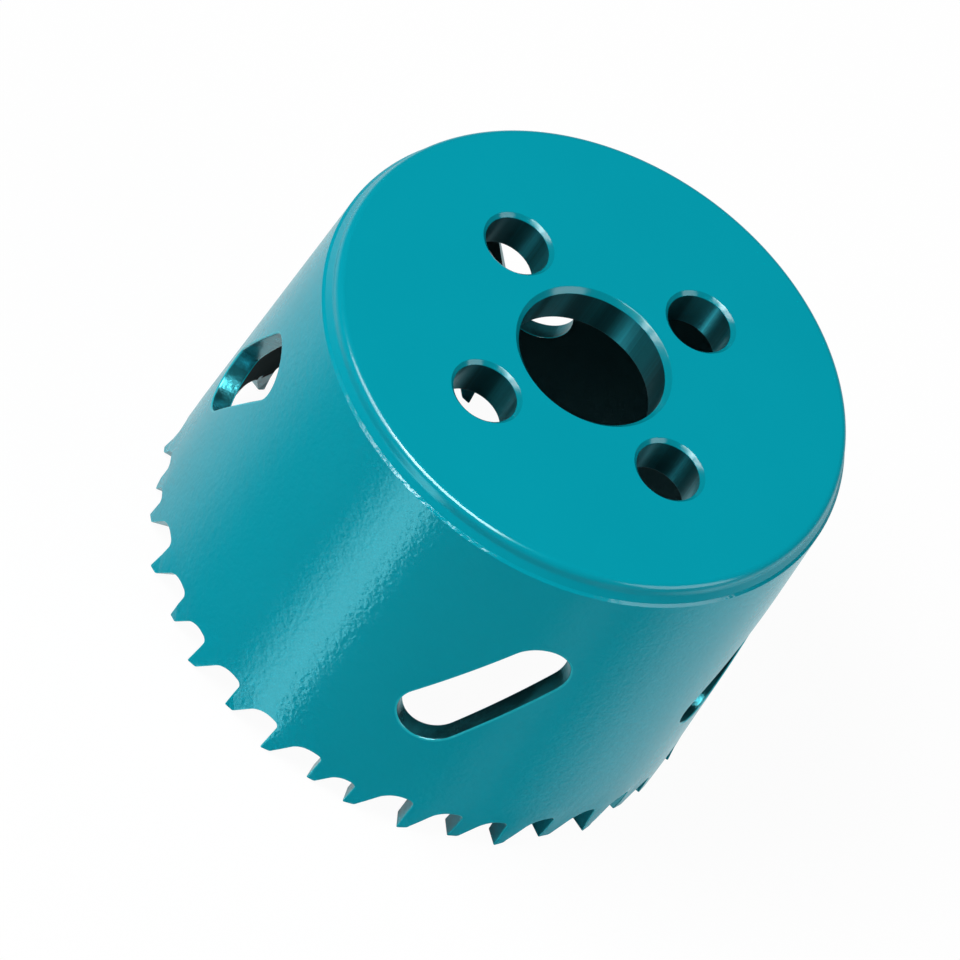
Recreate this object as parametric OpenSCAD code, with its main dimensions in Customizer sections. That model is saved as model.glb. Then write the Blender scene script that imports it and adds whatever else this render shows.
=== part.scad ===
// Hole saw: a rolled steel cup with set teeth round its rim, welded to a turned end plate.
// The plate's bore takes an arbor, and four holes round it take the arbor's drive pins.
// Z is the saw's axis. The tooth tips lie in the plane z = 0, and the plate is on top.
// Angles are counted from +X, anticlockwise as seen from the plate.
// All sizes are in millimetres and degrees.

/* [Cup] */
// Outer diameter of the wall at the tooth tips
cup_d = 55; // [50:0.5:70]
// Outer diameter of the wall under the flange, where the cup is a little narrower
top_d = 53; // [50:0.5:70]
// Thickness of the rolled strip
wall_t = 1.9; // [1.2:0.1:2.2]
// Height from the tooth tips to the plate's top face
saw_h = 39.8; // [38:0.1:60]
// Radius of the wall's rounded top outer edge
shoulder_r = 0.4; // [0.2:0.05:0.5]

/* [Teeth] */
// Share of the rim that each group of teeth takes, in proportion to each other
group_shares = [71, 71, 76, 71, 71]; // [60:0.5:90]
// Pitches within one group, in proportion to each other
pitch_shares = [11.8, 10.9, 10, 10.8, 10.4, 10.1, 8]; // [7:0.1:13]
// Sideways set of each tooth in a group: 1 bends out, -1 bends in, 0 stays straight
set_pattern = [0, 1, -1, 1, -1, 1, -1]; // [-1:1:1]
// How far a set tooth's tip leans out of the wall
tooth_set = 0.3; // [0:0.05:0.5]
// Angle of the first tooth's tip
first_tooth_angle = 41; // [0:0.5:72]
// Pitch at which the tooth form has the sizes below: each tooth is scaled to its own pitch
form_pitch = 5; // [4.5:0.1:6]
// Depth of the gullet
gullet_depth = 3.4; // [3:0.1:3.8]
// Radius of the gullet behind the tooth's back
gullet_r = 2.4; // [1.8:0.1:2.4]
// Level stretch at the gullet's top
gullet_flat = 0.4; // [0.1:0.1:0.6]
// Radius at the foot of the cutting face
root_r = 0.5; // [0.3:0.05:0.7]
// Length of the relief face behind the tip
tip_land = 1; // [0.6:0.1:1.2]
// Slope of the relief face
relief_angle = 17; // [8:1:25]
// Forward lean of the cutting face
rake_angle = 4; // [0:1:8]
// Height over which a set tooth is bent
bend_h = 2.4; // [1.6:0.1:2.6]

/* [Slots] */
// Angle of each slot's middle round the wall
slot_angles = [89, 178, 270, 337]; // [0:1:360]
// Width of a slot
slot_w = 6.4; // [5:0.1:9]
// Length of a slot from end to end
slot_l = 18.3; // [12:0.1:20]
// Lean of a slot away from the saw's axis
slot_lean = 31; // [0:1:35]
// Height of a slot's middle above the tooth tips
slot_z = 20.5; // [19:0.1:24]

/* [End plate] */
// Thickness of the plate
plate_t = 4.4; // [4:0.1:6]
// Height of the flange that stands above the wall
flange_h = 2; // [1.5:0.1:2.5]
// Distance that the flange's rim is set back from the outer face of the wall's top
flange_setback = 0.65; // [0.5:0.05:1]
// Radius of the flange's rounded top edge
flange_edge_r = 0.35; // [0.1:0.05:0.5]
// Leg of the hollow weld between the flange and the wall's top
weld_leg = 0.4; // [0.1:0.05:0.4]
// Gap all round between the plate's spigot and the inside of the wall
spigot_gap = 0.05; // [0.02:0.01:0.2]
// Chamfer at the spigot's lower edge
spigot_chamfer = 0.5; // [0.2:0.1:1]

/* [Arbor holes] */
// Diameter of the arbor bore
bore_d = 14.8; // [12:0.1:16]
// Chamfer at the arbor bore's top end
bore_chamfer = 0.5; // [0.2:0.05:0.8]
// Number of drive-pin holes
pin_count = 4; // [2:1:4]
// Diameter of a drive-pin hole
pin_d = 6.4; // [5:0.1:7]
// Diameter of the circle through the drive-pin holes
pin_circle_d = 26.5; // [26:0.1:34]
// Chamfer at a drive-pin hole's top end
pin_chamfer = 0.35; // [0.1:0.05:0.5]
// Broken edge at the lower end of every hole
hole_break = 0.15; // [0.05:0.05:0.3]
// Angle of the first drive-pin hole
pin_angle = 40.5; // [0:0.5:90]

/* [Look] */
// Colour of the enamel
enamel = [0, 0.58, 0.66]; // [0:0.01:1]

/* [Hidden] */
$fn = 96;
// Overlap that keeps a cut clear of the face it leaves by
cut_over = 1;
cup_r = cup_d / 2;
top_r = top_d / 2;
flange_r = top_r - flange_setback;
spigot_r = top_r - wall_t - spigot_gap;
seat_z = saw_h - flange_h;
plate_z = saw_h - plate_t;
// Outer radius of the wall at height z
function wall_r(z) = cup_r + (top_r - cup_r) * z / seat_z;

// Teeth: pitches in degrees, running angles of the tips, and the tooth form's scale at each pitch
group_size = len(pitch_shares);
tooth_count = len(group_shares) * group_size;
function sum_to(list, n) = n <= 0 ? 0 : list[n - 1] + sum_to(list, n - 1);
function sum_of(list) = sum_to(list, len(list));
function part_of(list, i) = list[i] / sum_of(list);
function part_before(list, i) = sum_to(list, i) / sum_of(list);
function pitch_angle(i) = 360 * part_of(group_shares, floor(i / group_size))
    * part_of(pitch_shares, i % group_size);
function tip_angle(i) = first_tooth_angle + 360 * (part_before(group_shares, floor(i / group_size))
    + part_of(group_shares, floor(i / group_size)) * part_before(pitch_shares, i % group_size));
function pitch_length(i) = PI * cup_d * pitch_angle(i) / 360;
// A tooth's root reaches this far up inside the strip, and this far within its two faces
root_overlap = 0.7;
root_inset = 0.02;
// Angle left open beside each tooth, where its gullet is cut
sector_gap = 0.6;
shortest_scale = min([for (i = [0:tooth_count - 1]) pitch_length(i)]) / form_pitch;
bend_z = bend_h * shortest_scale;
// Angle where the two ends of the rolled strip are joined, within the first tooth
seam_angle = tip_angle(0) + pitch_angle(0) / 3;

// Strip that is rolled into the wall, above the bent part of the teeth
module wall_ring() {
    shoulder_z = seat_z - shoulder_r;
    rotate([0, 0, seam_angle]) rotate_extrude() {
        polygon([
            [wall_r(bend_z) - wall_t, bend_z],
            [wall_r(bend_z), bend_z],
            [wall_r(shoulder_z), shoulder_z],
            [wall_r(shoulder_z) - shoulder_r, shoulder_z],
            [wall_r(shoulder_z) - shoulder_r, seat_z],
            [top_r - wall_t, seat_z]
        ]);
        translate([wall_r(shoulder_z) - shoulder_r, shoulder_z]) circle(shoulder_r);
    }
}

// One tooth's share of the rim, leaned out or in from the bend down to the tip
module set_sector(i) {
    lean = tooth_set * set_pattern[i % group_size];
    root_z = bend_z + root_overlap;
    rotate([0, 0, tip_angle(i) - sector_gap / 2])
        rotate_extrude(angle = pitch_angle(i) - sector_gap)
            polygon([
                [wall_r(root_z) - wall_t + root_inset, root_z],
                [wall_r(root_z) - root_inset, root_z],
                [wall_r(bend_z) - root_inset, bend_z],
                [cup_r + lean, 0],
                [cup_r - wall_t + lean, 0],
                [wall_r(bend_z) - wall_t + root_inset, bend_z]
            ]);
}

// Points along an arc
function arc(mid, r, from, to, steps) = [
    for (i = [0:steps])
        let (a = from + (to - from) * i / steps) mid + r * [cos(a), sin(a)]
];

// Outline of the gap behind one tip, at form_pitch: x runs along the rim, y up from the tips
module gullet_outline() {
    foot = form_pitch + gullet_depth * tan(rake_angle);
    land_end = [tip_land, tip_land * tan(relief_angle)];
    root_mid = [foot - root_r, gullet_depth - root_r];
    arc_mid = [root_mid[0] - gullet_flat, gullet_depth - gullet_r];
    to_mid = arc_mid - land_end;
    back_angle = atan2(to_mid[1], to_mid[0]) + asin(gullet_r / norm(to_mid));
    polygon(concat(
        [[0, -cut_over], [0, 0], land_end],
        arc(arc_mid, gullet_r, 90 + back_angle, 90, 8),
        arc(root_mid, root_r, 90, -rake_angle, 6),
        [[form_pitch, 0], [form_pitch, -cut_over]]
    ));
}

// Cutter for the gullet that follows tooth i, driven straight out through the wall
module gullet(i) {
    size = pitch_length(i) / form_pitch;
    reach = wall_t + 2 * (tooth_set + cut_over);
    rotate([0, 0, tip_angle(i) + pitch_angle(i) / 2 + 90])
        translate([-pitch_length(i) / 2, -cup_r + wall_t / 2, 0])
            rotate([90, 0, 0]) translate([0, 0, -reach / 2])
                scale(size) linear_extrude(reach / size) gullet_outline();
}

// Cutter for one round-ended slot
module slot(angle) {
    reach = cup_r - top_r + wall_t + 2 * cut_over;
    end_step = (slot_l - slot_w) / 2;
    rotate([0, 0, angle + 90]) translate([0, wall_t + cut_over - top_r, slot_z])
        rotate([90, slot_lean, 0]) linear_extrude(reach) {
            square([slot_w, 2 * end_step], center = true);
            for (side = [-1, 1]) translate([0, side * end_step]) circle(slot_w / 2);
        }
}

module toothed_shell() {
    color(enamel) difference() {
        union() {
            difference() {
                wall_ring();
                for (angle = slot_angles) slot(angle);
            }
            for (i = [0:tooth_count - 1]) set_sector(i);
        }
        for (i = [0:tooth_count - 1]) gullet(i);
    }
}

// Through hole on the saw's axis, with a chamfer on top and a broken edge below
module chamfered_hole(d, chamfer) {
    translate([0, 0, plate_z - cut_over]) cylinder(d = d, h = plate_t + 2 * cut_over);
    translate([0, 0, saw_h - chamfer])
        cylinder(d1 = d, d2 = d + 2 * (chamfer + cut_over), h = chamfer + cut_over);
    translate([0, 0, plate_z - cut_over])
        cylinder(d1 = d + 2 * (hole_break + cut_over), d2 = d, h = hole_break + cut_over);
}

// Turned section of the plate: spigot inside the wall, flange on top of it, weld in the corner
module plate_section() {
    polygon([
        [0, plate_z],
        [spigot_r - spigot_chamfer, plate_z],
        [spigot_r, plate_z + spigot_chamfer],
        [spigot_r, seat_z],
        [flange_r, seat_z],
        [flange_r, saw_h - flange_edge_r],
        [flange_r - flange_edge_r, saw_h - flange_edge_r],
        [flange_r - flange_edge_r, saw_h],
        [0, saw_h]
    ]);
    translate([flange_r - flange_edge_r, saw_h - flange_edge_r]) circle(flange_edge_r);
    difference() {
        translate([flange_r, seat_z]) square(weld_leg);
        translate([flange_r + weld_leg, seat_z + weld_leg]) circle(weld_leg);
    }
}

module end_plate() {
    color(enamel) difference() {
        rotate_extrude() plate_section();
        chamfered_hole(bore_d, bore_chamfer);
        for (i = [0:pin_count - 1])
            rotate([0, 0, pin_angle + 360 / pin_count * i]) translate([pin_circle_d / 2, 0, 0])
                chamfered_hole(pin_d, pin_chamfer);
    }
}

toothed_shell();
end_plate();
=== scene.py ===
# %% [markdown]
# # A hole saw
# A hole saw cuts a round disc out of wood or thin metal. It is a cup of rolled steel strip with
# teeth along its rim, closed by a turned plate that an arbor holds in a drill. This lesson dresses
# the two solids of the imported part: the wall gets its punched slots, filleted edges and set teeth,
# the plate its turned section, and both a coat of glossy enamel.

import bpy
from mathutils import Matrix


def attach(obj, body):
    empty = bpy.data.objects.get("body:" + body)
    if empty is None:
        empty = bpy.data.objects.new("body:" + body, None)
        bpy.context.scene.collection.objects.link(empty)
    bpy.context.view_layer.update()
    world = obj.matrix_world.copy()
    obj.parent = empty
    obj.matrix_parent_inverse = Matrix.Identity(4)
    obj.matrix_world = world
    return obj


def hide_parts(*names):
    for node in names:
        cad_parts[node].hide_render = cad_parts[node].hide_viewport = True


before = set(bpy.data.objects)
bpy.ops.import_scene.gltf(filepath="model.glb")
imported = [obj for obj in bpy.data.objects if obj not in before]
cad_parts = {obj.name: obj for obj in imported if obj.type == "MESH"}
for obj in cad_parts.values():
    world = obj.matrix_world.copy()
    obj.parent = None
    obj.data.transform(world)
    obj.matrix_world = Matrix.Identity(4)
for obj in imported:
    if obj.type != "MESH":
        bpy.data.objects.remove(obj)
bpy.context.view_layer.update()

# %% [markdown]
# ## Units and a few small helpers
# The part is a few centimetres across, and edges of a tenth of a millimetre matter on it. Blender's
# own tools are happiest with numbers near one, so each piece is modelled with one unit to the
# millimetre and shrunk at the very end. An operator works on whatever is selected, so the helpers
# first clear the selection, and then select vertices, edges or faces by their place.

# %% Helpers for selecting
import math

import bpy
from mathutils import Quaternion, Vector

MM = 0.001


def only(*objs):
    """Selects these objects and nothing else, and makes the last one active."""
    bpy.ops.object.select_all(action="DESELECT")
    for obj in objs:
        obj.select_set(True)
    bpy.context.view_layer.objects.active = objs[-1]


def done():
    """Goes back to object mode."""
    bpy.ops.object.mode_set(mode="OBJECT")


def edit(obj, kind, test):
    """Opens edit mode on one object with the vertices, edges or faces that pass a test selected."""
    only(obj)
    bpy.ops.object.mode_set(mode="EDIT")
    bpy.ops.mesh.select_mode(type=kind)
    bpy.ops.mesh.select_all(action="DESELECT")
    done()
    mesh = obj.data
    at = [vertex.co for vertex in mesh.vertices]
    items = {"VERT": mesh.vertices, "EDGE": mesh.edges, "FACE": mesh.polygons}[kind]
    for item in items:
        points = [at[item.index]] if kind == "VERT" else [at[i] for i in item.vertices]
        item.select = test(points)
    bpy.ops.object.mode_set(mode="EDIT")


def everything(points):
    return True


def nothing(points):
    return False


def apply_modifier(obj, kind, **settings):
    """Adds one modifier with these settings and applies it."""
    only(obj)
    modifier = obj.modifiers.new(kind.title(), kind)
    for name, value in settings.items():
        setattr(modifier, name, value)
    bpy.ops.object.modifier_apply(modifier=modifier.name)


# %% [markdown]
# ## The camera
# The photograph looks down on the plate from the front left, through a long lens, and the camera is
# rolled so that the saw's axis leans across the picture. A long lens far away keeps the rim's
# ellipse and the teeth's ellipse nearly alike, as the photograph does.

# %% Place the camera
CAMERA_AT = Vector((-581.845, -1440.403, 1618.661)) * MM
LOOK_AT = Vector((-2.161, -0.397, 18.859)) * MM
CAMERA_ROLL = math.radians(35.858)
LENS_MM, SENSOR_MM = 900, 36
NEAREST, FARTHEST = 0.01, 20

bpy.ops.object.camera_add(location=CAMERA_AT)
camera = bpy.context.object
camera.name = "photo_camera"
camera.data.sensor_width, camera.data.lens = SENSOR_MM, LENS_MM
camera.data.clip_start, camera.data.clip_end = NEAREST, FARTHEST
aim = (LOOK_AT - CAMERA_AT).to_track_quat("-Z", "Y")
camera.rotation_euler = (aim @ Quaternion((0, 0, 1), CAMERA_ROLL)).to_euler()
bpy.context.scene.camera = camera
print("camera distance", round((LOOK_AT - CAMERA_AT).length, 3), "m")

# %% [markdown]
# ## The saw's measures
# These repeat the named values of the part's source, in millimetres and degrees, because the lesson
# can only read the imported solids. The teeth come in groups of seven unequal pitches, which keeps
# the saw from chattering, and all but one tooth in a group are bent out or in by turns.

# %% Sizes
WALL_R, TOP_R, WALL_T, WALL_H = 27.5, 26.5, 1.9, 37.8
GROUP_SHARES = (71, 71, 76, 71, 71)
PITCH_SHARES = (11.8, 10.9, 10, 10.8, 10.4, 10.1, 8)
SET_PATTERN = (0, 1, -1, 1, -1, 1, -1)
FIRST_TIP = 41.0

STRIP_L = 2 * math.pi * WALL_R
PITCH_MM = [STRIP_L * group / sum(GROUP_SHARES) * share / sum(PITCH_SHARES)
            for group in GROUP_SHARES for share in PITCH_SHARES]
TOOTH_COUNT = len(PITCH_MM)


def wall_r(z):
    """The wall's outer radius at a height: the cup is a little wider at the teeth."""
    return WALL_R + (TOP_R - WALL_R) * z / WALL_H


print(TOOTH_COUNT, "teeth, strip", round(STRIP_L, 2), "mm long")

# %% [markdown]
# ## Rounding a path's corners
# A workshop drawing shows sharp corners and gives a radius at each. The same helps here: the
# strip, the plate's section and the drill's section are short lists of corners, and one helper
# turns them into points, with an arc of a few steps wherever a corner has a radius.


# %% Round the corners of a path
def rounded(corners):
    """Turns (x, y, radius, steps) corners into points, with an arc at each corner with a radius."""
    path = []
    for i, (x, y, radius, steps) in enumerate(corners):
        corner = Vector((x, y))
        if not radius:
            path.append(corner)
            continue
        before = (Vector(corners[i - 1][:2]) - corner).normalized()
        after = (Vector(corners[(i + 1) % len(corners)][:2]) - corner).normalized()
        half = before.angle(after) / 2
        middle = corner + (before + after).normalized() * radius / math.sin(half)
        start = corner + before * radius / math.tan(half) - middle
        end = corner + after * radius / math.tan(half) - middle
        first = math.atan2(start.y, start.x)
        turn = (math.atan2(end.y, end.x) - first + math.pi) % (2 * math.pi) - math.pi
        for k in range(steps + 1):
            angle = first + turn * k / steps
            path.append(middle + radius * Vector((math.cos(angle), math.sin(angle))))
    return path


# %% [markdown]
# ## One gullet
# A gullet is the gap between two teeth, where the chips collect. From the first tip a short relief
# face runs back, then a straight flank climbs into a wide round, a short level stretch follows, and
# a small radius leads down the next tooth's cutting face, which leans forward a little. The flank
# has to touch both the land's end and the wide round, so its slope is worked out first, for a tooth
# of one pitch. All the teeth are this one, scaled to their own pitches.

# %% Corners of one gullet at the form pitch
FORM_PITCH, GULLET_DEPTH = 5.0, 3.4
TIP_LAND, RELIEF, RAKE = 1.0, math.radians(17), math.radians(4)
GULLET_R, ROOT_R, GULLET_FLAT = 2.4, 0.5, 0.4

foot_x = FORM_PITCH + GULLET_DEPTH * math.tan(RAKE)
land_y = TIP_LAND * math.tan(RELIEF)
level_x = foot_x - ROOT_R - GULLET_FLAT
to_round = Vector((level_x - TIP_LAND, GULLET_DEPTH - GULLET_R - land_y))
back_slope = math.atan2(to_round.y, to_round.x) + math.asin(GULLET_R / to_round.length)
round_x = TIP_LAND + (GULLET_DEPTH - land_y) / math.tan(back_slope)
print("back flank", round(math.degrees(back_slope), 1), "degrees, its corner at", round(round_x, 2))

# %% [markdown]
# ## The blank
# A real saw's wall starts as a flat strip. A press punches the slots and the gullets, and only then
# is the strip rolled up and welded. Slots and teeth could also be cut out of a finished ring with
# booleans, but the lesson goes the press's way, because a flat outline is easy to draw: one closed
# spline is the strip with its teeth, four more are the slots, and a filled curve leaves the slots
# open. The sheet lies with the wall's outer face up. Its ends meet in the middle of a gullet's
# level stretch, where the two ends fit without a step.

# %% Draw the strip's outline
TIP_R, TIP_STEPS = 0.12, 3
LAND_R, LAND_STEPS = 0.4, 2
ROOT_STEPS, ROUND_STEPS = 6, 11

scale_of = [pitch / FORM_PITCH for pitch in PITCH_MM]
last = scale_of[-1]
strip_start = -PITCH_MM[-1] + last * (level_x + GULLET_FLAT / 2)
strip_end = strip_start + STRIP_L
seam_angle = math.radians(FIRST_TIP) + strip_start / WALL_R

corners = [(strip_start, last * GULLET_DEPTH, 0, 0)]
tips = []
x, before = 0.0, last
for i, size in enumerate(scale_of):
    foot = x - PITCH_MM[i - 1] + before * foot_x
    corners += [
        (foot, before * GULLET_DEPTH, before * ROOT_R, ROOT_STEPS),
        (x, 0, TIP_R, TIP_STEPS),
        (x + size * TIP_LAND, size * land_y, LAND_R, LAND_STEPS),
        (x + size * round_x, size * GULLET_DEPTH, size * GULLET_R, ROUND_STEPS),
    ]
    tips.append((x - strip_start, size, SET_PATTERN[i % len(SET_PATTERN)]))
    x, before = x + PITCH_MM[i], size
corners += [(strip_end, last * GULLET_DEPTH, 0, 0),
            (strip_end, WALL_H, 0, 0), (strip_start, WALL_H, 0, 0)]
outlines = [[(p.x - strip_start, p.y) for p in rounded(corners)]]
print("strip:", len(outlines[0]), "points")

# %% [markdown]
# ## The slots
# The slots let chips out, and a screwdriver in to lever out a stuck disc. Each is two half circles
# joined by straight sides, and leans. The strip is measured at the teeth, where the cup is widest,
# so a slot is drawn a little too long along the strip and shrinks to its size as the strip is
# rolled.

# %% Add the slots' outlines
SLOT_ANGLES, SLOT_W, SLOT_L, SLOT_LEAN, SLOT_Z = (89, 178, 270, 337), 6.4, 18.3, 31, 20.5
SLOT_STEPS = 32

lean = math.radians(SLOT_LEAN)
slot_along = Vector((math.sin(lean), math.cos(lean)))
slot_across = Vector((slot_along.y, -slot_along.x))
for angle in SLOT_ANGLES:
    centre = Vector(((math.radians(angle) - seam_angle) % (2 * math.pi) * WALL_R, SLOT_Z))
    ring = []
    for side in (1, -1):
        for k in range(SLOT_STEPS + 1):
            turn = math.pi * k / SLOT_STEPS
            spoke = slot_across * math.cos(turn) + slot_along * math.sin(turn)
            spoke = side * spoke * SLOT_W / 2 + side * slot_along * (SLOT_L - SLOT_W) / 2
            ring.append(centre + Vector((spoke.x * WALL_R / wall_r(SLOT_Z), spoke.y)))
    outlines.append([tuple(p) for p in ring])
print(len(SLOT_ANGLES), "slots")

# %% [markdown]
# ## Filling the outlines
# A flat curve whose fill is set to both sides takes every spline that lies inside another for a
# hole, so the five outlines become a sheet in one step. The conversion leaves a fan of triangles,
# and dissolving what is flat turns them into a few wide faces.

# %% Fill the outlines into a sheet
outline = bpy.data.curves.new("blank_outline", "CURVE")
outline.dimensions, outline.fill_mode = "2D", "BOTH"
for points in outlines:
    spline = outline.splines.new("POLY")
    spline.points.add(len(points) - 1)
    for point, (px, py) in zip(spline.points, points):
        point.co = (px, py, 0, 1)
    spline.use_cyclic_u = True
shell = bpy.data.objects.new("toothed_shell_piece", outline)
bpy.context.collection.objects.link(shell)
only(shell)
bpy.ops.object.convert(target="MESH")
shell = bpy.context.object
edit(shell, "FACE", everything)
bpy.ops.mesh.dissolve_limited(angle_limit=math.radians(0.1))
done()
print("blank:", len(shell.data.vertices), "points,", len(shell.data.polygons), "faces")

# %% [markdown]
# ## Thickness
# The sheet is pulled up to the strip's thickness. A Solidify modifier would do the same, but an
# extrusion leaves a plain wall of one face at every edge, which the fillets need next.

# %% Thicken the sheet
edit(shell, "FACE", everything)
bpy.ops.mesh.extrude_region_move(TRANSFORM_OT_translate={"value": (0, 0, WALL_T)})
bpy.ops.mesh.select_all(action="SELECT")
bpy.ops.mesh.normals_make_consistent(inside=False)
done()
print("sheet", WALL_T, "mm thick")

# %% [markdown]
# ## Edges
# Punched edges are never quite sharp, and paint rounds them further, so they get fillets: narrow
# ones at the teeth, a wider one round the slots' outer edge, and a flat chamfer at the top, where
# the wall was turned to meet the plate. One Bevel modifier can't give each its own width, so the
# edges are picked by where they lie and bevelled in edit mode. The fillets of slots and teeth are
# marked, so that the enamel can be lighter there, partly for thinner paint and partly as a painted
# highlight.


# %% Pick the edges of the outline
CLOSE, HAIR = 1e-3, 1e-4
SLOT_BAND, TEETH_TOP, TOP_BAND = (12, 33), 6, 0.5


def at_ends(points):
    """At the strip's two ends, which will be welded together."""
    return all(p.x < CLOSE for p in points) or all(p.x > STRIP_L - CLOSE for p in points)


def in_slot(points):
    return all(SLOT_BAND[0] < p.y < SLOT_BAND[1] for p in points)


def in_teeth(points):
    return all(p.y < TEETH_TOP for p in points)


def at_top(points):
    return all(p.y > WALL_H - TOP_BAND for p in points)


def open_rim(z, want):
    """Opens edit mode with the outline's edges at one height selected, and counts them.

    Such an edge joins a wide face of the sheet to the wall of a cut.
    """
    mesh = shell.data
    sides = {}
    for polygon in mesh.polygons:
        for key in polygon.edge_keys:
            sides.setdefault(key, []).append(abs(polygon.normal.z) > 0.9)
    at = [vertex.co.copy() for vertex in mesh.vertices]
    keep = set()
    for key, flat in sides.items():
        points = [at[i] for i in key]
        level = all(abs(p.z - z) < HAIR for p in points)
        if sorted(flat) == [False, True] and level and not at_ends(points) and want(points):
            keep.add(key)
    edit(shell, "EDGE", nothing)
    done()
    for item in mesh.edges:
        item.select = item.key in keep
    bpy.ops.object.mode_set(mode="EDIT")
    return len(keep)


# %% Round the edges and mark the fillets
# Fillets marked with this word get lighter paint, partly thinner paint and partly a painted
# highlight. On the plate the same mark gives the broken edges darker paint, a painted shade.
EDGE_WORD = "edge_light_and_shade"
FILLETS = (
    ("slots, outside", WALL_T, in_slot, 0.22, 3, True),
    ("top, outside", WALL_T, at_top, 0.24, 1, False),
    ("teeth, outside", WALL_T, in_teeth, 0.1, 2, True),
    ("slots, inside", 0, in_slot, 0.12, 2, True),
    ("teeth, inside", 0, in_teeth, 0.1, 2, True),
)


def mark(obj, word, test, value=1.0):
    """Writes a value into a face attribute for every face that passes a test."""
    mesh = obj.data
    values = mesh.attributes.get(word) or mesh.attributes.new(word, "FLOAT", "FACE")
    chosen = [polygon.index for polygon in mesh.polygons if test(polygon)]
    for index in chosen:
        values.data[index].value = value
    print(obj.name, word, len(chosen), "faces")


for name, z, want, width, steps, marked in FILLETS:
    count = open_rim(z, want)
    bpy.ops.mesh.bevel(offset=width, segments=steps, profile=0.5, clamp_overlap=False)
    done()
    print(name, count, "edges,", width, "mm")
    if marked:
        mark(shell, EDGE_WORD, lambda polygon: polygon.select)

# %% [markdown]
# ## Lines for the roll and for the bends
# Rolled up, the sheet needs a line of points at every degree or so, or the wall would be a prism.
# The teeth are bent, so the strip's foot gets lines across as well. Subdividing would spoil the
# fillets, while bisecting with a plane adds such lines without a care for what it crosses. The
# faces at the two ends go first, because they would end up inside the wall.

# %% Cut lines across the strip
COLUMNS, BEND_TOP, BEND_ROWS = 300, 5.6, 12

edit(shell, "FACE", at_ends)
bpy.ops.mesh.delete(type="FACE")
for k in range(1, COLUMNS):
    bpy.ops.mesh.select_all(action="SELECT")
    bpy.ops.mesh.bisect(plane_co=(STRIP_L * k / COLUMNS, 0, 0), plane_no=(1, 0, 0))
done()
for k in range(1, BEND_ROWS + 1):
    edit(shell, "FACE", lambda points: min(p.y for p in points) < BEND_TOP)
    bpy.ops.mesh.bisect(plane_co=(0, BEND_TOP * k / BEND_ROWS, 0), plane_no=(0, 1, 0))
    done()
print("sheet:", len(shell.data.vertices), "points,", len(shell.data.polygons), "faces")

# %% [markdown]
# ## Setting the teeth
# Set teeth clear the cut, so that the cup doesn't bind. A setting tool presses each tooth's corner
# over along a slanting line, and the sheet round it gives a little too. Leaning the whole tooth
# would be simpler, but then no facet catches the light. So each set tooth gets two close lines
# from its cutting face to its land, the corner beyond them leans out or in, and a soft swelling
# spreads up past the gullets. On a longer tooth the lines lie further from the tip and the swelling
# spreads wider.

# %% Bend the corners and swell the sheet behind them
CORNER_LEAN, LINE_GAP = 0.2, 0.12
CORNER_HIGH, CORNER_BACK = Vector((0.12, 2.0)), Vector((1.3, 0.42))
CORNER_AHEAD, CORNER_BEHIND, CORNER_TOP = 0.4, 1.9, 2.6
SWELL, SWELL_MIDDLE, SWELL_REACH, SWELL_FADE = 0.13, 0.8, 2.6, 4.2


def soft(t):
    """Climbs smoothly from 0 to 1."""
    t = min(1.0, max(0.0, t))
    return t * t * (3 - 2 * t)


def in_corner(local, size):
    """Whether a point, counted from a tip, can belong to that tooth's corner."""
    return -CORNER_AHEAD < local.x < CORNER_BEHIND * size and local.y < CORNER_TOP * size


for tip, size, side in tips:
    if not side:
        continue
    at_tip = Vector((tip, 0))
    high, back = CORNER_HIGH * size, CORNER_BACK * size
    beyond = Vector((high.y - back.y, back.x - high.x)).normalized()
    reach = beyond.dot(high)
    for shift in (0.0, LINE_GAP):
        spot = at_tip + high - beyond * shift
        edit(shell, "FACE", lambda points: all(in_corner(p.xy - at_tip, size) for p in points))
        bpy.ops.mesh.bisect(plane_co=(spot.x, spot.y, 0), plane_no=(beyond.x, beyond.y, 0))
        done()
    for vertex in shell.data.vertices:
        local = vertex.co.xy - at_tip
        aside = (local.x - SWELL_MIDDLE * size) / (SWELL_REACH * size)
        if abs(aside) > 1 or local.y > BEND_TOP:
            continue
        window = math.cos(math.pi / 2 * aside) ** 2
        lift = SWELL * window * soft((BEND_TOP - local.y) / SWELL_FADE)
        if in_corner(local, size):
            lift += CORNER_LEAN * max(0.0, reach - beyond.dot(local)) / reach
        vertex.co.z += side * lift
print(sum(1 for tip in tips if tip[2]), "teeth set")

# %% [markdown]
# ## Rolling and welding
# The rolling mill's work is one short formula: the way along the strip becomes an angle, and the
# way up through the sheet a radius. A Simple Deform modifier could bend the strip, but not into a
# cup that is wider at its foot. The outer face keeps its length, so the inner one is squeezed,
# which happens to real strip too. Then the two ends are merged, as the butt weld does, and normals
# weighted by face area keep the wall even beside its narrow fillets.

# %% Roll the strip up
MERGE_WITHIN, SMOOTH_BELOW, EVEN_WEIGHT = 0.003, math.radians(40), 50

for vertex in shell.data.vertices:
    along, up, out = vertex.co
    angle = seam_angle + along / WALL_R
    radius = wall_r(up) - WALL_T + out
    vertex.co = (radius * math.cos(angle), radius * math.sin(angle), up)


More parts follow.
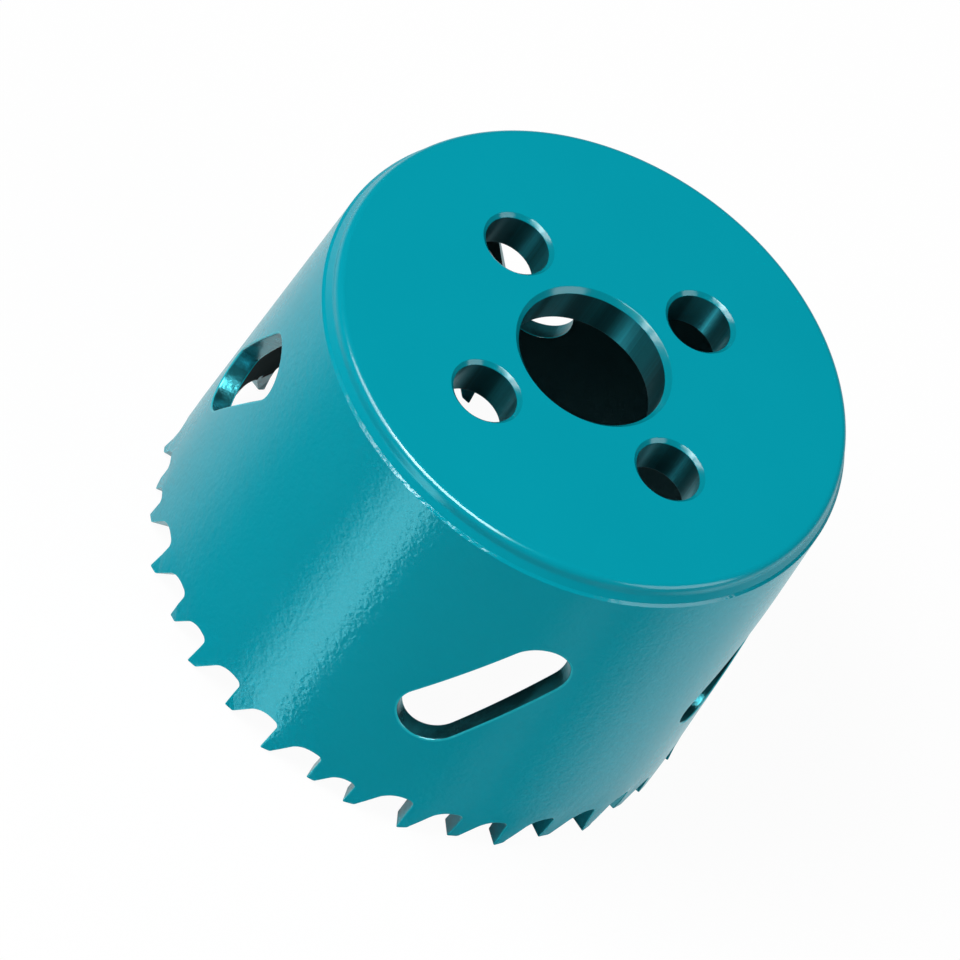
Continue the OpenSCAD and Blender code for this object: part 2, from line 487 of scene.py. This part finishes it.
def finish_piece(obj, piece_name):
    """Merges close points, shades smoothly, weights the normals and shrinks the piece to metres."""
    obj.name = piece_name
    edit(obj, "FACE", everything)
    bpy.ops.mesh.remove_doubles(threshold=MERGE_WITHIN)
    bpy.ops.mesh.normals_make_consistent(inside=False)
    done()
    bpy.ops.object.shade_smooth_by_angle(angle=SMOOTH_BELOW)
    apply_modifier(obj, "WEIGHTED_NORMAL", mode="FACE_AREA", weight=EVEN_WEIGHT, keep_sharp=True)
    obj.scale = (MM, MM, MM)
    bpy.ops.object.transform_apply(location=True, rotation=True, scale=True)
    low = [round(min(v.co[k] for v in obj.data.vertices) / MM, 2) for k in range(3)]
    high = [round(max(v.co[k] for v in obj.data.vertices) / MM, 2) for k in range(3)]
    print(piece_name, len(obj.data.polygons), "faces, from", low, "to", high)


finish_piece(shell, "shell_piece")

# %% [markdown]
# ## The end plate
# The plate is a turned part: one section, spun round the saw's axis, as on a lathe. Its flange
# stands on the wall and its spigot inside it, and a steep bead of weld leans against the flange.
# The flange's rim is well rounded, and every other edge is broken. A stack of cylinders would give
# the same outline with sharp edges, but then nothing along the rim would shine.

# %% Spin the plate's section
PLATE_TOP, PLATE_T, FLANGE_R, SPIGOT_R, BORE_R = 39.8, 4.4, 25.85, 24.55, 7.4
PLATE_LOW, SEAT = PLATE_TOP - PLATE_T, WALL_H
CHAMFER, HOLE_BREAK = 0.5, 0.15
WELD_FOOT, WELD_RISE, WELD_R = 0.4, 0.76, 0.6
RIM_R, SPIGOT_EDGE_R, BORE_EDGE_R, BREAK_R = 0.75, 0.15, 0.12, 0.05
PLATE_STEPS, DRILL_STEPS = 240, 96


def spun(piece_name, section, steps, closed):
    """Spins a path of (radius, height) points round the Z axis."""
    mesh = bpy.data.meshes.new(piece_name)
    edges = [(i, i + 1) for i in range(len(section) - 1)]
    if closed:
        edges.append((len(section) - 1, 0))
    mesh.from_pydata([(p[0], 0, p[1]) for p in section], edges, [])
    obj = bpy.data.objects.new(piece_name, mesh)
    bpy.context.collection.objects.link(obj)
    edit(obj, "VERT", everything)
    bpy.ops.mesh.spin(steps=steps, angle=2 * math.pi, center=(0, 0, 0), axis=(0, 0, 1))
    bpy.ops.mesh.select_all(action="SELECT")
    bpy.ops.mesh.remove_doubles(threshold=CLOSE)
    bpy.ops.mesh.normals_make_consistent(inside=False)
    done()
    return obj


plate_section = rounded([
    (BORE_R, PLATE_LOW + HOLE_BREAK, BREAK_R, 2),
    (BORE_R + HOLE_BREAK, PLATE_LOW, BREAK_R, 2),
    (SPIGOT_R - CHAMFER, PLATE_LOW, SPIGOT_EDGE_R, 2),
    (SPIGOT_R, PLATE_LOW + CHAMFER, SPIGOT_EDGE_R, 2),
    (SPIGOT_R, SEAT, 0, 0),
    (FLANGE_R + WELD_FOOT, SEAT, 0, 0),
    (FLANGE_R, SEAT + WELD_RISE, WELD_R, 4),
    (FLANGE_R, PLATE_TOP, RIM_R, 12),
    (BORE_R + CHAMFER, PLATE_TOP, BORE_EDGE_R, 3),
    (BORE_R, PLATE_TOP - CHAMFER, BORE_EDGE_R, 3),
])
plate = spun("plate_blank", plate_section, PLATE_STEPS, closed=True)
print("plate:", len(plate.data.polygons), "faces")

# %% [markdown]
# ## The drive-pin holes
# Four holes take the arbor's pins. The drill and the countersink are one spun cutter, wider at the
# plate's top face and a little at its underside, so that each hole gets its chamfers with it. The
# cutter is copied to its four places and taken away from the plate with a boolean modifier.

# %% Drill the holes
PIN_COUNT, PIN_R, PIN_CIRCLE_R, FIRST_PIN, PIN_CHAMFER = 4, 3.2, 13.25, 40.5, 0.35
PIN_EDGE_R, CUT_OVER, LIP, SPREAD = 0.1, 1.0, 0.004, 0.03
WIDE_R = PIN_R + PIN_CHAMFER + CUT_OVER

drill_section = rounded([
    (0, PLATE_LOW - CUT_OVER, 0, 0),
    (WIDE_R, PLATE_LOW - CUT_OVER, 0, 0),
    (WIDE_R, PLATE_LOW - LIP, 0, 0),
    (PIN_R + HOLE_BREAK, PLATE_LOW - LIP, BREAK_R, 2),
    (PIN_R, PLATE_LOW + HOLE_BREAK, BREAK_R, 2),
    (PIN_R, PLATE_TOP - PIN_CHAMFER, PIN_EDGE_R, 2),
    (PIN_R + PIN_CHAMFER + SPREAD, PLATE_TOP + LIP, PIN_EDGE_R, 2),
    (WIDE_R, PLATE_TOP + LIP, 0, 0),
    (WIDE_R, PLATE_TOP + CUT_OVER, 0, 0),
    (0, PLATE_TOP + CUT_OVER, 0, 0),
])
pin_turns = [math.radians(FIRST_PIN + 360 / PIN_COUNT * k) for k in range(PIN_COUNT)]
pin_spots = [Vector((math.cos(turn), math.sin(turn))) * PIN_CIRCLE_R for turn in pin_turns]
drill = spun("drill", drill_section, DRILL_STEPS, closed=False)
drills = []
for spot in pin_spots:
    twin = drill.copy()
    twin.data = drill.data.copy()
    twin.location = (spot.x, spot.y, 0)
    bpy.context.collection.objects.link(twin)
    drills.append(twin)
bpy.data.objects.remove(drill)
only(*drills)
bpy.ops.object.join()
drills = bpy.context.object
apply_modifier(plate, "BOOLEAN", object=drills, operation="DIFFERENCE", solver="EXACT")
bpy.data.objects.remove(drills)
finish_piece(plate, "plate_piece")

# %% [markdown]
# ## Marks for the enamel
# The enamel changes its tone by place. It is lighter on the wall's fillets, partly thinner paint
# and partly a painted highlight, and darker on the plate's broken edges, a painted shade. It is
# darker in holes and slots, a painted shade with painted sheen bands, and nearly black inside the
# cup, a painted shade. Vertex paint by hand could say where, but a face's place and the way it
# faces say it exactly. So a test looks at its height, at how near it is to a hole and at how far it
# faces outwards, and marks it with a number that the enamel reads.

# %% Tests for a face
# Both marks carry painted shade: darker banded paint in holes, slots and gullets, and nearly black
# paint inside the cup.
HOLE_SHADE_WORD, CUP_SHADE_WORD = "hole_walls_shaded", "inside"


def near_hole(polygon, extra):
    """Whether a face lies within a hole of the plate, or this far round it."""
    spot = (polygon.center / MM).xy
    in_pin_hole = min((spot - pin).length for pin in pin_spots) < PIN_R + extra
    return spot.length < BORE_R + extra or in_pin_hole


def outward(polygon):
    """1 for a face that turns straight away from the saw's axis, and -1 towards it."""
    return polygon.center.xy.normalized().dot(polygon.normal.xy)


def height_of(polygon):
    """A face's height above the tooth tips, in millimetres."""
    return polygon.center.z / MM


def is_hole_wall(polygon):
    return abs(polygon.normal.z) < 0.2 and near_hole(polygon, 0.1)


def is_broken_edge(polygon):
    return 0.1 < abs(polygon.normal.z) < 0.99 and near_hole(polygon, 1)


def is_underside(polygon):
    return height_of(polygon) < PLATE_LOW + 0.03


def is_wall_inside(polygon):
    return height_of(polygon) > 3 and outward(polygon) < -0.7


def is_slot_side(polygon):
    return SLOT_BAND[0] < height_of(polygon) < SLOT_BAND[1] and abs(outward(polygon)) < 0.35


def is_gullet_side(polygon):
    return height_of(polygon) < TEETH_TOP and abs(outward(polygon)) < 0.5


# %% Mark the faces
# Hole walls, slot sides and, at a fifth, gullet sides get darker banded paint: a painted shade with
# painted sheen bands.
mark(plate, HOLE_SHADE_WORD, is_hole_wall)
# The plate's broken edges round the holes get darker paint: a painted shade.
mark(plate, EDGE_WORD, is_broken_edge)
# The plate's underside and the wall's inner face get nearly black paint: a painted shade.
mark(plate, CUP_SHADE_WORD, is_underside)
mark(shell, CUP_SHADE_WORD, is_wall_inside)
mark(shell, HOLE_SHADE_WORD, is_slot_side)
mark(shell, HOLE_SHADE_WORD, is_gullet_side, 0.2)

# %% [markdown]
# ## Wiring nodes
# Enamel, floor and sky are all small networks of math and mix nodes. A few helpers keep each of
# them readable: an input takes either a plain value or another node's output, whichever is given.


# %% Helpers for nodes
def feed(tree, entry, value):
    """Links an output to an input, or writes a plain value into it."""
    if isinstance(value, bpy.types.NodeSocket):
        tree.links.new(value, entry)
    else:
        entry.default_value = value


def maths(tree, operation, first, second=0.0, clamp=False):
    made = tree.nodes.new("ShaderNodeMath")
    made.operation, made.use_clamp = operation, clamp
    feed(tree, made.inputs[0], first)
    feed(tree, made.inputs[1], second)
    return made.outputs[0]


def mix_colors(tree, share, first, second, blend_type="MIX"):
    """Mixes two colours: a Mix node keeps its colour sockets at places 6 and 7, and 2."""
    made = tree.nodes.new("ShaderNodeMix")
    made.data_type, made.blend_type = "RGBA", blend_type
    for index, value in ((0, share), (6, first), (7, second)):
        feed(tree, made.inputs[index], value)
    return made.outputs[2]


def ramp(tree, value, low, high):
    """Climbs smoothly from 0 to 1 while a value goes from low to high."""
    made = tree.nodes.new("ShaderNodeMapRange")
    made.interpolation_type = "SMOOTHSTEP"
    feed(tree, made.inputs["Value"], value)
    made.inputs["From Min"].default_value, made.inputs["From Max"].default_value = low, high
    return made.outputs["Result"]


def grey(level):
    return (level, level, level, 1)


# %% [markdown]
# ## Enamel
# The saw wears one glossy coat of teal enamel. Three things keep it from looking like plastic: the
# fine ripple that spray paint dries with, a changed tone along the edges, and darker banded paint on
# the walls of the holes, with fine marks along them. The tone along the edges is lighter on the
# wall's fillets, partly thinner paint and partly a painted highlight, and darker round the plate's
# holes, a painted shade. The darker paint in the holes is painted shade, and its bands are a painted
# sheen. A painted picture could hold them, but noise needs no unwrapping and stays sharp at any
# distance. Wall and plate share the coat, so it is one node group with its own values in each
# material.

# %% Open the enamel group
coat = bpy.data.node_groups.new("enamel_coat", "ShaderNodeTree")


def socket(name, kind, way, value=None):
    """Gives the group an input or an output."""
    made = coat.interface.new_socket(name=name, in_out=way, socket_type=kind)
    if value is not None:
        made.default_value = value


socket("Paint", "NodeSocketColor", "INPUT", (0.0, 0.3, 0.385, 1))
# Edge light paint: lighter on the wall's fillets, partly thinner paint and partly a painted
# highlight.
socket("Edge Light Paint", "NodeSocketColor", "INPUT", (0.01, 0.4, 0.48, 1))
# Bore shade paint: darker paint in holes, slots and gullets, a painted shade.
socket("Bore Shade Paint", "NodeSocketColor", "INPUT", (0.015, 0.14, 0.165, 1))
# Inside shade paint: nearly black paint inside the cup, a painted shade.
socket("Inside Shade Paint", "NodeSocketColor", "INPUT", (0.0, 0.012, 0.014, 1))
socket("Ripple Scale", "NodeSocketFloat", "INPUT", 900.0)
socket("Roughness", "NodeSocketFloat", "INPUT", 0.3)
socket("Color", "NodeSocketColor", "OUTPUT")
socket("Roughness", "NodeSocketFloat", "OUTPUT")
socket("Metallic", "NodeSocketFloat", "OUTPUT")
socket("Height", "NodeSocketFloat", "OUTPUT")
given = coat.nodes.new("NodeGroupInput").outputs
print("enamel group:", len(given) - 1, "inputs")

# %% [markdown]
# ## Marks in the holes
# Drill and reamer leave fine marks along a hole's wall, which the bump draws, and the colour in the
# holes gets bands along them, which are a painted sheen. Noise that reads a point's X and Y only,
# and not its height, is the same all the way down a hole, so it draws lines along it.


# %% Noise for lines, bands and clouds
def marked_faces(word):
    """The number that the faces were marked with."""
    made = coat.nodes.new("ShaderNodeAttribute")
    made.attribute_name = word
    return made.outputs["Fac"]


def noise(source, scale, detail, rough=0.5):
    made = coat.nodes.new("ShaderNodeTexNoise")
    feed(coat, made.inputs["Vector"], source)
    feed(coat, made.inputs["Scale"], scale)
    made.inputs["Detail"].default_value, made.inputs["Roughness"].default_value = detail, rough
    return made.outputs["Fac"]


edge, hole_walls_shaded, inside = (marked_faces(word) for word in (EDGE_WORD, HOLE_SHADE_WORD, CUP_SHADE_WORD))
place = coat.nodes.new("ShaderNodeTexCoord").outputs["Object"]
split = coat.nodes.new("ShaderNodeSeparateXYZ")
feed(coat, split.inputs[0], place)
level_place = coat.nodes.new("ShaderNodeCombineXYZ")
feed(coat, level_place.inputs[0], split.outputs[0])
feed(coat, level_place.inputs[1], split.outputs[1])

LINE_SCALE, BAND_SCALE, CLOUD_SCALE, GRAIN_SCALE = 3000.0, 330.0, 60.0, 3200.0
BROAD_SHARE, LINE_SHARE, BAND_LOW, BAND_HIGH = 0.8, 0.2, 0.42, 0.62
# The lines and the broad noise make the painted sheen bands in the holes. The lines are also bumps
# there.
lines = noise(level_place.outputs[0], LINE_SCALE, 3.0, 0.7)
broad = noise(level_place.outputs[0], BAND_SCALE, 1.0)
bands = maths(coat, "ADD", maths(coat, "MULTIPLY", broad, BROAD_SHARE),
              maths(coat, "MULTIPLY", lines, LINE_SHARE))
bands = ramp(coat, bands, BAND_LOW, BAND_HIGH)
cloud = noise(place, CLOUD_SCALE, 3.0)
print("line scale", LINE_SCALE, "band scale", BAND_SCALE)

# %% [markdown]
# ## The coat's colour and gloss
# The paint is even outside apart from a faint cloud. It is lighter on the wall's fillets, partly
# thinner paint and partly a painted highlight, and darker on the plate's broken edges, a painted
# shade. It is darker in the holes and slots, a painted shade with painted sheen bands, and nearly
# black inside the cup, a painted shade. In the holes and slots a little bare metal shines through,
# and inside the cup the coat is dull. The ripple and the marks are heights for a Bump node.

# %% Wire the colour
SHEEN_BAND_DARK, SHEEN_BAND_LIGHT, CLOUD_LOW, CLOUD_HIGH = 0.6, 1.6, 0.96, 1.04

# The edge colour: a painted highlight on the wall's fillets, partly thinner paint, and a painted
# shade on the plate's broken edges.
edge_lit_paint = mix_colors(coat, edge, given["Paint"], given["Edge Light Paint"])
# Darker paint in holes, slots and gullets, with painted sheen bands: a painted shade.
sheen_band_tone = mix_colors(coat, bands, grey(SHEEN_BAND_DARK), grey(SHEEN_BAND_LIGHT))
shaded_holes = mix_colors(coat, 1.0, given["Bore Shade Paint"], sheen_band_tone, "MULTIPLY")
clouded = mix_colors(coat, cloud, grey(CLOUD_LOW), grey(CLOUD_HIGH))
color = mix_colors(coat, 1.0, mix_colors(coat, hole_walls_shaded, edge_lit_paint, shaded_holes), clouded, "MULTIPLY")
# Nearly black inside the cup: a painted shade.
color = mix_colors(coat, inside, color, given["Inside Shade Paint"])
print("colour:", len(coat.nodes), "nodes so far")

# %% Wire the gloss, the metal and the height
CLOUD_ROUGH, INSIDE_ROUGH, BORE_ROUGH, BORE_METAL = 0.05, 0.85, 0.15, 0.65
RIPPLE_HEIGHT, GRAIN_HEIGHT, LINE_HEIGHT = 0.7, 0.2, 0.35

duller = maths(coat, "ADD", maths(coat, "MULTIPLY", inside, INSIDE_ROUGH),
               maths(coat, "MULTIPLY", hole_walls_shaded, BORE_ROUGH))
duller = maths(coat, "ADD", maths(coat, "MULTIPLY", cloud, CLOUD_ROUGH), duller)
rough = maths(coat, "ADD", given["Roughness"], duller, clamp=True)
metal = maths(coat, "MULTIPLY", maths(coat, "MULTIPLY", hole_walls_shaded, hole_walls_shaded), BORE_METAL)
ripple = noise(place, given["Ripple Scale"], 1.5, 0.4)
height = maths(coat, "ADD", maths(coat, "MULTIPLY", ripple, RIPPLE_HEIGHT),
               maths(coat, "MULTIPLY", noise(place, GRAIN_SCALE, 1.0), GRAIN_HEIGHT))
height = maths(coat, "ADD", height,
               maths(coat, "MULTIPLY", maths(coat, "MULTIPLY", lines, hole_walls_shaded), LINE_HEIGHT))

output = coat.nodes.new("NodeGroupOutput").inputs
feed(coat, output["Color"], color)
feed(coat, output["Roughness"], rough)
feed(coat, output["Metallic"], metal)
feed(coat, output["Height"], height)
print("enamel group:", len(coat.nodes), "nodes")

# %% [markdown]
# ## Two enamels
# The shader itself stays in each material, and so do its plain numbers. The wall's coat has a finer
# and deeper ripple than the plate's, because rolled strip is less even than a turned face. The
# plate's broken edges are painted a little darker than the wall's fillets, and darker than its own
# flats, which is a painted shade.

# %% Make the materials
ENAMEL_IOR, ENAMEL_SPECULAR = 1.5, 0.35


def enamel(name, values, ripple_depth):
    material = bpy.data.materials.new(name)
    material.use_nodes = True
    tree = material.node_tree
    shader = tree.nodes["Principled BSDF"].inputs
    layer = tree.nodes.new("ShaderNodeGroup")
    layer.node_tree = coat
    for key, value in values.items():
        layer.inputs[key].default_value = value
    bump = tree.nodes.new("ShaderNodeBump")
    bump.inputs["Strength"].default_value = 1.0
    bump.inputs["Distance"].default_value = ripple_depth
    feed(tree, bump.inputs["Height"], layer.outputs["Height"])
    feed(tree, shader["Base Color"], layer.outputs["Color"])
    feed(tree, shader["Roughness"], layer.outputs["Roughness"])
    feed(tree, shader["Metallic"], layer.outputs["Metallic"])
    feed(tree, shader["Normal"], bump.outputs["Normal"])
    shader["IOR"].default_value = ENAMEL_IOR
    shader["Specular IOR Level"].default_value = ENAMEL_SPECULAR
    return material


wall_enamel = enamel("wall_enamel", {"Ripple Scale": 1600.0, "Roughness": 0.1}, 0.00004)
plate_enamel = enamel(
    "plate_enamel",
    {"Ripple Scale": 900.0, "Roughness": 0.13, "Edge Light Paint": (0.0, 0.24, 0.3, 1)}, 0.00001)
print("materials:", wall_enamel.name, plate_enamel.name)

# %% [markdown]
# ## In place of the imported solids
# Both pieces have the shape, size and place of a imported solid, so each stands for it, rides on the
# one body there is, and takes the finish of its material slot.

# %% Put the pieces in the solids' places
for piece, finish, replaced, slot_name in (
        (shell, wall_enamel, "toothed_shell", "shell_enamel"),
        (plate, plate_enamel, "end_plate", "plate_enamel")):
    piece.data.materials.clear()
    piece.data.materials.append(finish)
    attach(piece, "root")
    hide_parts(replaced)
    print(piece.name, "stands for", replaced)

# %% [markdown]
# ## Floor
# The saw stands on its teeth on a plain white sheet. The camera sees it white, with a little of its
# real shading left so that the saw's soft shadow stays. Mirror rays look past the sheet into the
# studio round it, which is what a glossy product photograph shows.

# %% Lay the floor
FLOOR_SIDE, FLOOR_GREY, WHITE_SHARE = 3, 0.85, 0.96

bpy.ops.mesh.primitive_plane_add(size=FLOOR_SIDE)
floor = bpy.context.object
floor.name = "floor"
floor.visible_glossy = False
paper = bpy.data.materials.new("white_paper")
paper.use_nodes = True
sheet = paper.node_tree
sheet.nodes.clear()
rays = sheet.nodes.new("ShaderNodeLightPath").outputs
white = sheet.nodes.new("ShaderNodeEmission")
matte = sheet.nodes.new("ShaderNodeBsdfDiffuse")
matte.inputs["Color"].default_value = grey(FLOOR_GREY)
mixed = sheet.nodes.new("ShaderNodeMixShader")
seen = maths(sheet, "MAXIMUM", rays["Is Camera Ray"], rays["Is Transmission Ray"])
feed(sheet, mixed.inputs[0], maths(sheet, "MULTIPLY", seen, WHITE_SHARE))
feed(sheet, mixed.inputs[1], matte.outputs[0])
feed(sheet, mixed.inputs[2], white.outputs[0])
surface = sheet.nodes.new("ShaderNodeOutputMaterial")
feed(sheet, surface.inputs["Surface"], mixed.outputs[0])
floor.data.materials.append(paper)
print("floor", FLOOR_SIDE, "m across")

# %% [markdown]
# ## Lamps
# One big soft lamp from the upper left and a weaker one from the right light the saw. Both are
# square panels, as softboxes are, because a wide source gives a soft shadow. A sun or a point lamp
# would give a hard one.

# %% Hang the lamps
SAW_MIDDLE = Vector((0, 0, 0.02))


def soft_lamp(name, azimuth, elevation, distance, size, power):
    """A square lamp that looks at the saw: angles in degrees, azimuth counted from +X."""
    a, e = math.radians(azimuth), math.radians(elevation)
    place = Vector((math.cos(a) * math.cos(e), math.sin(a) * math.cos(e), math.sin(e))) * distance
    bpy.ops.object.light_add(type="AREA", location=place + SAW_MIDDLE)
    lamp = bpy.context.object
    lamp.name = name
    lamp.data.shape, lamp.data.size, lamp.data.energy = "SQUARE", size, power
    lamp.rotation_euler = (-place).to_track_quat("-Z", "Y").to_euler()
    print("lamp", name, power, "W")


soft_lamp("key", 182, 54, 0.9, 0.5, 8.7)
soft_lamp("fill", 330, 25, 1.0, 0.6, 4.2)

# %% [markdown]
# ## Sky
# The sky is plain and dim for all but mirror rays. For those it is a dark studio with four things
# in it: pale walls at both sides, which make the saw pale towards its two outlines, a faint panel
# at the right, one bright strip at the front left, which draws the streak down the wall, and a
# panel overhead on the camera's side, which draws the thin line along the flange's rim. Real panels
# could hang there instead, but they would show in other views. Angles round the saw are counted
# from the side that the camera looks from. Walls and strip end a little above the horizon, so that
# the flat top of the plate mirrors only the dark.

# %% Directions in the sky
FACING = 248.0

world = bpy.data.worlds.new("studio")
bpy.context.scene.world = world
world.use_nodes = True
sky = world.node_tree


def band(value, low, low_soft, high, high_soft):
    """1 between two values, with soft ends."""
    return maths(sky, "MULTIPLY", ramp(sky, value, low, low + low_soft),
                 maths(sky, "SUBTRACT", 1.0, ramp(sky, value, high - high_soft, high)))


turned = sky.nodes.new("ShaderNodeVectorRotate")
turned.rotation_type = "Z_AXIS"
turned.inputs["Angle"].default_value = math.radians(-FACING)
feed(sky, turned.inputs["Vector"], sky.nodes.new("ShaderNodeTexCoord").outputs["Generated"])
parts = sky.nodes.new("ShaderNodeSeparateXYZ")
feed(sky, parts.inputs[0], turned.outputs[0])
ahead, across, above = parts.outputs
round_about = maths(sky, "MULTIPLY", maths(sky, "ARCTAN2", across, ahead), 180 / math.pi)
low_down = maths(sky, "SUBTRACT", 1.0, ramp(sky, above, -0.2, 0.1))
print("studio faces", FACING, "degrees")

# %% Walls, strip and overhead panel
DARK, SIDE_WALL, FAINT_PANEL = 0.03, 0.56, 0.15
PALE, STRIP, PANEL = (1.0, 1.22, 1.25, 1), (1.6, 4.8, 5.2, 1), (22.0, 24.0, 24.0, 1)
PLAIN_SKY = 0.12

from_front = maths(sky, "ABSOLUTE", round_about)
sides = maths(sky, "MULTIPLY", ramp(sky, from_front, 72, 116), SIDE_WALL)
faint = maths(sky, "MULTIPLY", band(round_about, 46, 12, 78, 16), FAINT_PANEL)
walls = maths(sky, "MULTIPLY", maths(sky, "ADD", sides, faint), low_down)
studio = mix_colors(sky, maths(sky, "ADD", walls, DARK), grey(0.0), PALE)
strip = maths(sky, "MULTIPLY", band(round_about, -44, 20, -13, 5), low_down)
studio = mix_colors(sky, strip, studio, STRIP)
overhead = maths(sky, "MULTIPLY", band(ahead, 0.1, 0.06, 0.66, 0.05),
                 band(across, -0.5, 0.1, 0.16, 0.08))
overhead = maths(sky, "MULTIPLY", overhead, ramp(sky, above, 0.4, 0.5))
studio = mix_colors(sky, overhead, studio, PANEL)

is_mirror = sky.nodes.new("ShaderNodeLightPath").outputs["Is Glossy Ray"]
feed(sky, sky.nodes["Background"].inputs["Color"],
     mix_colors(sky, is_mirror, grey(PLAIN_SKY), studio))
bpy.context.scene.view_settings.view_transform = "Standard"
print("sky:", len(sky.nodes), "nodes")
